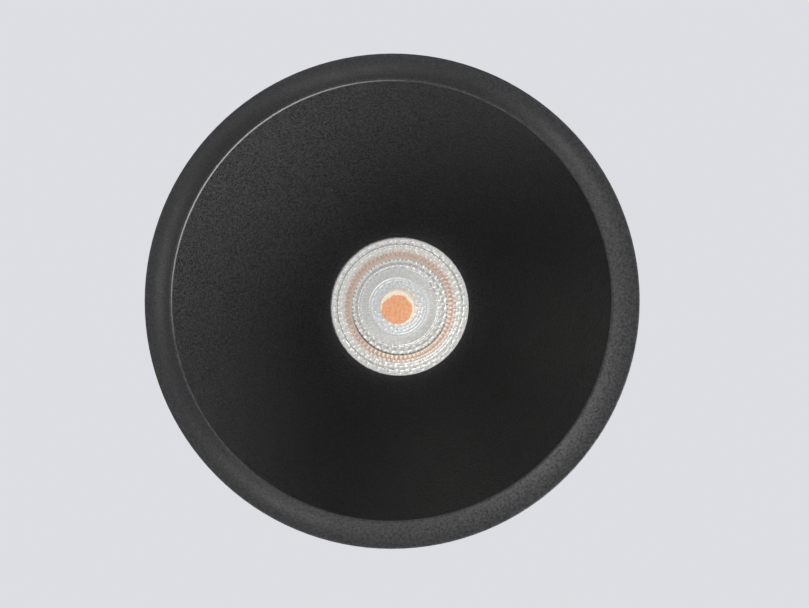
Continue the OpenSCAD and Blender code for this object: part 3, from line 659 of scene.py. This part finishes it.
def lensFace():
    # Rows of pillows round the axis. Each stands up by a (1 - |u|^p) + b (1 - v^2), where u runs across
    # a cell and v across the row, and teeth push a row's inner edge in along each cell.
    angles = np.linspace(0, 2 * math.pi, lens["turns"], endpoint=False)
    radii, heights = [], []
    for outer, inner, high, low, reliefAcross, reliefAlong, cells, phase, square, teeth in lens["rows"]:
        v = np.linspace(-1, 1, lens["rowSteps"])[:, None]
        u = (2 * ((angles * cells / (2 * math.pi) + phase) % 1) - 1)[None, :]
        across = (v + 1) / 2
        radii.append(outer + (inner - outer) * across - teeth * across * (1 - 2 * np.abs(u)))
        crown = reliefAcross * (1 - np.abs(u) ** square) + reliefAlong * (1 - v**2)
        heights.append(high + (low - high) * across - crown)
    radius, height = np.concatenate(radii), np.concatenate(heights)
    inward = (lens["driftFrom"] - radius) / (lens["driftFrom"] - lens["driftWhole"])
    side = np.clip(inward, 0, 1)
    x = radius * np.cos(angles) + lens["drift"] * side * side * (3 - 2 * side)
    return np.stack([x, radius * np.sin(angles), height], axis=-1)


def lensBack():
    # From the pit's floor up its wall, over the back, down the flank and round the rim. The flank's
    # radius grows with the way from the back to the power 0.6.
    down = np.linspace(0, 1, 24)
    flank = (
        lens["backRadius"] + (lens["flankRadius"] - lens["backRadius"]) * down**0.6,
        lens["back"] + (lens["rimBack"] - lens["back"]) * down,
    )
    radii = np.concatenate([[lens["pitRadius"], lens["pitRadius"]], flank[0], [lens["rimRadius"]] * 2])
    rim = [lens["rimBack"], lens["front"] + lens["seam"]]
    heights = np.concatenate([[lens["pitHeight"], lens["back"]], flank[1], rim])
    return turned(radii, heights, lens["turns"])


silver, grey, dull = (0.94, 0.925, 0.84), (0.80, 0.79, 0.725), (0.66, 0.645, 0.60)
pearl = (0.86, 0.885, 0.86)
phosphorReflection, deepPhosphorReflection = (0.86, 0.69, 0.575), (0.80, 0.58, 0.44)
lensLook = {
    "bands": [
        # radius, tone; each tone a painted reflection of what lies behind the clear lens
        (0.0, pearl), (3.6, (0.93, 0.84, 0.74)), (4.2, pearl), (5.0, pearl), (5.2, (0.97, 0.96, 0.90)),
        (5.6, (0.84, 0.835, 0.775)), (5.9, grey), (7.2, (0.82, 0.815, 0.76)), (7.55, silver),
        (7.95, silver), (8.05, dull), (8.45, dull), (8.6, silver), (9.05, silver), (9.35, phosphorReflection),
        (9.9, deepPhosphorReflection), (10.4, phosphorReflection), (10.75, (0.92, 0.85, 0.76)), (11.1, silver), (11.75, silver),
        (11.88, (0.56, 0.545, 0.50)), (12.06, (0.60, 0.585, 0.545)), (12.18, (0.97, 0.96, 0.87)),
        (12.60, (0.97, 0.96, 0.88)), (12.75, (0.95, 0.92, 0.88)), (14.0, (1.0, 0.97, 0.94)),
    ],
    "bandShift": 0.12,           # the streaks push a band's edge so far in and out
    "streaks": (30.0, 1.1),      # how close they lie round the axis, and how short they are
    "streakSize": 0.8,
    "streakRelief": 0.00003,     # in metres, as is the size of the dust
    "dust": 0.0005,
    "streakShade": (0.68, 0.99),
    "specks": [
        # a row's middle and half its width, cells round, the first cell's turn, how dark
        (10.15, 0.25, 72, 0.0, 0.7), (9.0, 0.25, 72, 0.5, 1.0), (12.45, 0.36, 36, 0.0, 0.45),
    ],
    "speckSides": (0.30, 0.42),  # shares of a cell from its middle, between which a gap is painted dark
    # a painted dark line at this radius, on the lower side
    "lineRadius": 9.22,
    "lineReach": (0.06, 0.20),
    "lineMost": 0.72,
    "roughness": (0.12, 0.24),
}


def lensFinish():
    # Silver facets with painted reflections of the white holder, and a copper band that is the
    # phosphor's painted reflection
    material, tree, shader = startMaterial("facetedLens")
    look = lensLook
    away, turn = polar(tree)
    streaky = tree.nodes.new("ShaderNodeCombineXYZ")
    for socket, value, closeness in zip(streaky.inputs, (turn, away), look["streaks"]):
        tree.links.new(product(tree, value, closeness), socket)
    streaks = speckle(tree, streaky.outputs[0], look["streakSize"], 3.0, 0.6)
    shift = rescale(tree, streaks, -look["bandShift"], look["bandShift"])
    outward = compute(tree, "DIVIDE", compute(tree, "ADD", away, shift), lens["rimRadius"])
    colour = colourRamp(tree, outward, [(r / lens["rimRadius"], tone) for r, tone in look["bands"]])
    # Painted shade: dark gaps between the cells of three rows, and a dark line at the picture's foot
    shade = rescale(tree, streaks, *look["streakShade"])
    for middle, reach, cells, phase, depth in look["specks"]:
        near = rescale(tree, distanceFrom(tree, away, middle), 1, 0, reach / 2, reach)
        count = compute(tree, "ADD", product(tree, turn, cells / (2 * math.pi)), phase + cells)
        side = distanceFrom(tree, compute(tree, "FRACT", count), 0.5)
        between = rescale(tree, side, 0, 1, *look["speckSides"])
        dark = product(tree, near, between, rescale(tree, streaks, -0.2 * depth, depth))
        shade = product(tree, shade, compute(tree, "SUBTRACT", 1.0, dark))
    fromLine = distanceFrom(tree, away, look["lineRadius"])
    onLine = rescale(tree, fromLine, look["lineMost"], 0, *look["lineReach"])
    below = rescale(tree, compute(tree, "SINE", turn), 0.1, 1, 0.1, 0.5)
    shade = product(tree, shade, compute(tree, "SUBTRACT", 1.0, product(tree, onLine, below)))
    tree.links.new(scaleColour(tree, colour, shade), shader.inputs["Base Color"])
    dust = speckle(tree, objectSpace(tree), look["dust"])
    tree.links.new(rescale(tree, dust, *look["roughness"]), shader.inputs["Roughness"])
    shader.inputs["Metallic"].default_value = 1.0
    roughen(tree, shader, streaks, look["streakRelief"])
    return material


def makeLens():
    # The face's rows and the turned back, bridged at the rim and across the pit
    work = bmesh.new()
    addGrid(work, lensFace())
    addGrid(work, lensBack())
    edges = openEdges(work)
    atRim = [math.hypot(*edge.verts[0].co[:2]) > 10 * mm for edge in edges]
    bmesh.ops.bridge_loops(work, edges=[edge for edge, isRim in zip(edges, atRim) if isRim])
    bmesh.ops.bridge_loops(work, edges=[edge for edge, isRim in zip(edges, atRim) if not isRim])
    bmesh.ops.recalc_face_normals(work, faces=work.faces)
    return finishMesh(work, "tirLens", sharpAbove=60)


addPiece("tirLens", makeLens(), lensFinish(), "fitting", ["tir_lens"])
print("the lens is cut")


emitter = {
    "centre": (-1.04, -0.08),   # the phosphor sits a little off the lens's axis, as in the photograph
    "radius": 3.19,
    "top": 40.6,
    "base": 41.19,
    "crown": 0.06,
    "damRadius": 4.2,           # on the front, only the dam lies within this of the axis
    "boardTop": 41.25,
    # the orange is shifted off the middle, so that a painted highlight shows as a cream crescent at one
    # side
    "orangeShift": (-0.14, 0.42),
    "orangeEdge": (2.83, 3.03),
    "lumpSize": 0.0014,         # in metres, as are the size and relief of the grains
    "lumpReach": 0.22,          # the lumps push the orange's edge so far in and out
    "grainSize": 0.00042,
    "grainRelief": 0.00004,
    "oranges": ((0.80, 0.31, 0.13), (0.95, 0.56, 0.36)),
    "cream": (0.97, 0.86, 0.72),
    # painted light: the phosphor and the board glow as if lit through the lens
    "glow": 0.74,
    "boardReach": 8.0,          # the board's glow is at its weakest from here on
    "boardGlow": [
        # share of that reach, tone
        (0.0, (0.80, 0.70, 0.58)), (0.41, (0.80, 0.70, 0.58)), (0.47, (0.70, 0.66, 0.62)),
        (1.0, (0.30, 0.30, 0.30)),
    ],
}


def aroundEmitter(tree, shift=(0, 0)):
    return polar(tree, [*((c + s) * mm for c, s in zip(emitter["centre"], shift)), 0])[0]


def phosphorFinish():
    # An orange layer under clear silicone, with lumps and speckles, a painted highlight as a cream
    # crescent at one side, and a painted glow
    material, tree, shader = startMaterial("phosphorLayer")
    away = aroundEmitter(tree, emitter["orangeShift"])
    where = objectSpace(tree)
    lumps = speckle(tree, where, emitter["lumpSize"], 1.0)
    reach = emitter["lumpReach"]
    edge = compute(tree, "ADD", away, rescale(tree, lumps, -reach, reach))
    inside = rescale(tree, edge, 1, 0, *emitter["orangeEdge"])
    grains = rescale(tree, speckle(tree, where, emitter["grainSize"], 4.0, 0.75), 0, 1, 0.35, 0.65)
    orange = blendColours(tree, grains, *emitter["oranges"])
    # painted highlight: cream outside the shifted orange
    colour = blendColours(tree, inside, emitter["cream"], orange)
    tree.links.new(colour, shader.inputs["Base Color"])
    tree.links.new(colour, shader.inputs["Emission Color"])
    shader.inputs["Emission Strength"].default_value = emitter["glow"]
    tree.links.new(rescale(tree, grains, 0.3, 0.5, 0, 1), shader.inputs["Roughness"])
    roughen(tree, shader, grains, emitter["grainRelief"])
    return material


def makePhosphor():
    # A shallow crown: its height falls with the square of the way out, over a straight rim
    e = emitter
    out = np.linspace(0.02, 1, 14)
    radii = np.concatenate([out, [1.0, 0.02]]) * e["radius"]
    heights = np.concatenate([e["top"] + e["crown"] * out**2, [e["base"], e["base"]]])
    points = turned(radii, heights, 96)
    points[..., :2] += e["centre"]
    return cappedMesh("emitterPhosphor", points)


def boardFinish():
    # White ceramic with a painted glow by the phosphor, out to the dam's rim and a little beyond
    board = finishes["white_ceramic"].copy()
    board.name = "emitterBoardCeramic"
    tree = board.node_tree
    shader = nodeOf(board, "BSDF_PRINCIPLED")
    outward = compute(tree, "DIVIDE", aroundEmitter(tree), emitter["boardReach"])
    glow = colourRamp(tree, outward, emitter["boardGlow"])
    # painted light: the glow fades from the phosphor outward
    tree.links.new(glow, shader.inputs["Emission Color"])
    shader.inputs["Emission Strength"].default_value = emitter["glow"]
    return board


def makeBoard():
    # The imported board. Its dam goes with the phosphor to where the photograph shows it.
    mesh = finishMesh(mergedCopy("emitter_board"), "emitterBoard")
    points = np.empty((len(mesh.vertices), 3), dtype=np.float32)
    mesh.vertices.foreach_get("co", points.ravel())
    isDam = np.hypot(points[:, 0], points[:, 1]) < emitter["damRadius"] * mm
    isDam &= points[:, 2] < emitter["boardTop"] * mm
    points[isDam, :2] += np.array(emitter["centre"]) * mm
    mesh.vertices.foreach_set("co", points.ravel())
    mesh.update()
    return mesh


for node, mesh, material in (
        ("emitter_board", makeBoard(), boardFinish()),
        ("emitter_phosphor", makePhosphor(), phosphorFinish())):
    addPiece(pieceName(node), mesh, material, "fitting", [node])
print("the emitter is laid")


spring = {
    "coilRadius": 3.3,
    "wire": 1.0,
    "pitch": 1.6,
    "turns": 4,
    "rest": 66.0,              # degrees that the arm leans below level
    "armLeg": 12.0,
    "plateLeg": 6.8,
    "legStart": 0.4,           # the first point of a leg lies this far from the coil's end
    "sides": 14,
}


def coilSweep():
    # Degrees of wire in the coil
    return 360 * spring["turns"] + spring["rest"]


def coilHalfWidth():
    return spring["pitch"] * coilSweep() / 720


def springPath():
    # A leg, then a helix whose turn and rise grow together, then the other leg
    s = spring
    turn = np.radians(90 - np.linspace(0, coilSweep(), 40 * s["turns"] + 9))
    coil = np.stack([
        s["coilRadius"] * np.cos(turn), np.linspace(-coilHalfWidth(), coilHalfWidth(), len(turn)),
        s["coilRadius"] * np.sin(turn),
    ], axis=-1)
    lean = math.radians(s["rest"])
    downLean = [math.cos(lean), 0, -math.sin(lean)]
    legIn = coil[0] + np.outer(np.linspace(-s["plateLeg"], -s["legStart"], 8), [1, 0, 0])
    legOut = coil[-1] + np.outer(np.linspace(s["legStart"], s["armLeg"], 14), downLean)
    return np.concatenate([legIn, coil, legOut])


def tubeAlong(path, radius, sides):
    # Circles square to the path, each set between the wire's outward and sideways directions
    ahead = np.gradient(path, axis=0)
    ahead /= np.linalg.norm(ahead, axis=1, keepdims=True)
    outward = np.cross(ahead, np.array([0.0, 1.0, 0.0]))
    outward /= np.linalg.norm(outward, axis=1, keepdims=True)
    sideways = np.cross(outward, ahead)
    around = np.linspace(0, 2 * math.pi, sides, endpoint=False)[None, :, None]
    circles = np.cos(around) * outward[:, None] + np.sin(around) * sideways[:, None]
    return path[:, None] + radius * circles


def makeSpring(side, sign):
    body, node = f"clip_{side}", f"clip_spring_{side}"
    hinge = hingeOf[body]
    points = tubeAlong(springPath(), spring["wire"] / 2, spring["sides"])
    points[..., :2] *= sign                     # the left clip is turned half round
    mesh = cappedMesh(pieceName(node), points + np.array(hinge[:]) / mm)
    piece = addPiece(pieceName(node), mesh, finishes["spring_steel"], None, [node])
    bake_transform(piece)


for side, sign in (("right", 1), ("left", -1)):
    makeSpring(side, sign)
print("the springs are wound")


def leadFinish():
    # One lead is red and the other black
    pair = finishes["lead_insulation"].copy()
    pair.name = "leadPair"
    tree = pair.node_tree
    shader = nodeOf(pair, "BSDF_PRINCIPLED")
    red = shader.inputs["Base Color"].links[0].from_socket
    isRed = compute(tree, "GREATER_THAN", inMillimetres(tree)[0], 0.0)
    tree.links.new(blendColours(tree, isRed, (0.022, 0.022, 0.023), red), shader.inputs["Base Color"])
    return pair


shapedAbove = {
    "front_casting", "tir_lens", "emitter_board", "emitter_phosphor", "clip_spring_right",
    "clip_spring_left",
}
for node in cadNodes:
    if node == "heat_sink":
        dressNode(node, edgeRound=0, flatWithin=0)     # its pierced flat faces stay as packed
    elif node == "led_leads":
        dressNode(node, material=leadFinish())
    elif node not in shapedAbove:
        dressNode(node)
print("packed solids are dressed")
